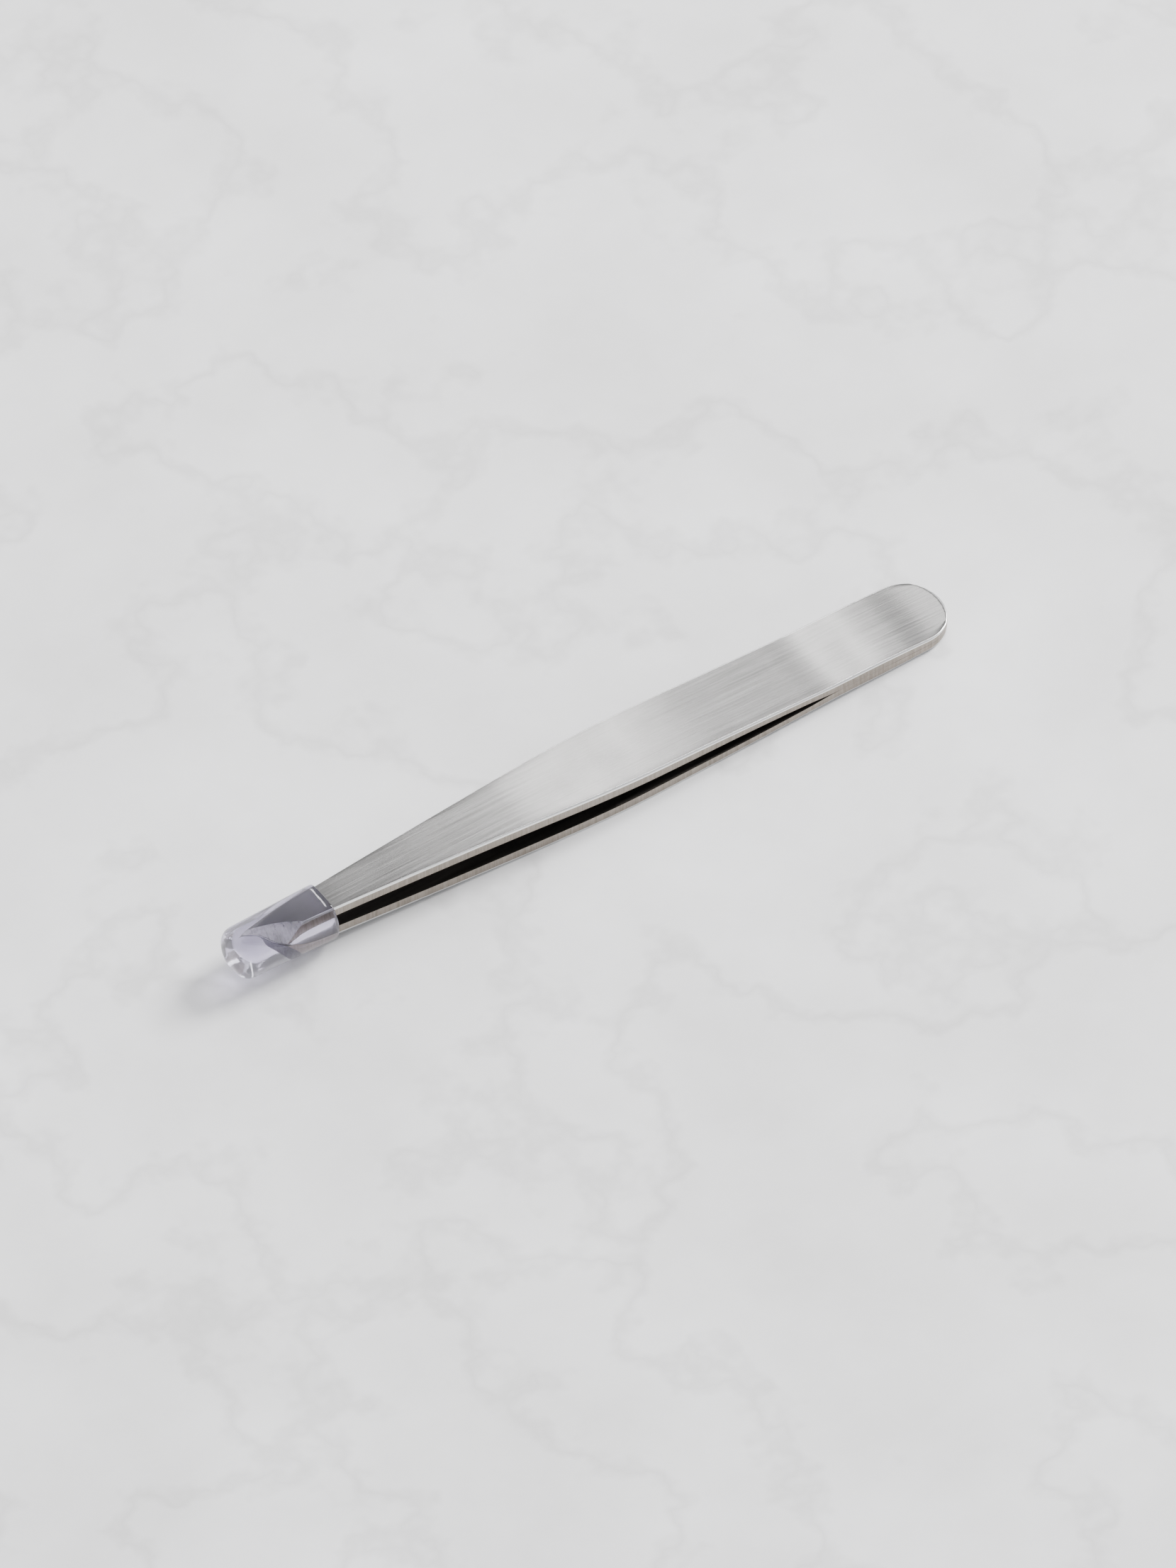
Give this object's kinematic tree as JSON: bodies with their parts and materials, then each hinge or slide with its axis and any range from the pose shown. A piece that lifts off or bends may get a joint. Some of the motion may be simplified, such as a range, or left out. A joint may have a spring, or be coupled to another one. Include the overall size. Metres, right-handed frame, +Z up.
{
  "type": "slant tweezers",
  "caption": "Slant-tip tweezers: two sprung steel strips joined at a round tail, slanted ground tips, and a soft clear cap over the tips.",
  "frame": {"origin": "bottom centre of the bounding box, on the table the tweezers lie on", "axes": "+X along the tweezers from the guarded tips to the round tail, +Y across the arms, +Z up, shortest way through both arms; the tips and guard are at -X"},
  "size_m": [0.0978, 0.0096, 0.0066],
  "materials": {
    "arm_steel": "lengthwise satin brushing, ground side walls",
    "weld_steel": "as-welded",
    "clear_vinyl": "clear, soft, faint violet tint"
  },
  "bodies": {
    "lower_half": {"lower_arm": "arm_steel", "upper_arm_tail": "arm_steel", "spot_welds": "weld_steel"},
    "upper_blade": {"upper_arm": "arm_steel"},
    "guard": {"tip_guard": "clear_vinyl"}
  },
  "joints": [
    {"name": "guard_slide", "type": "slide", "parent": "lower_half", "child": "guard", "axis": [-0.9996, 0, 0.0277], "range_m": [-0.0018, 0.04]},
    {"name": "upper_arm_flex", "type": "hinge", "parent": "lower_half", "child": "upper_blade", "pos_m": [0.03122, 0, 0.0021], "axis": [0, 1, 0], "range_deg": [-0.2, 2.8]}
  ],
  "couplings": [
    {"joint": "upper_arm_flex", "follows": "guard_slide", "rad_per_m": 1.2}
  ]
}
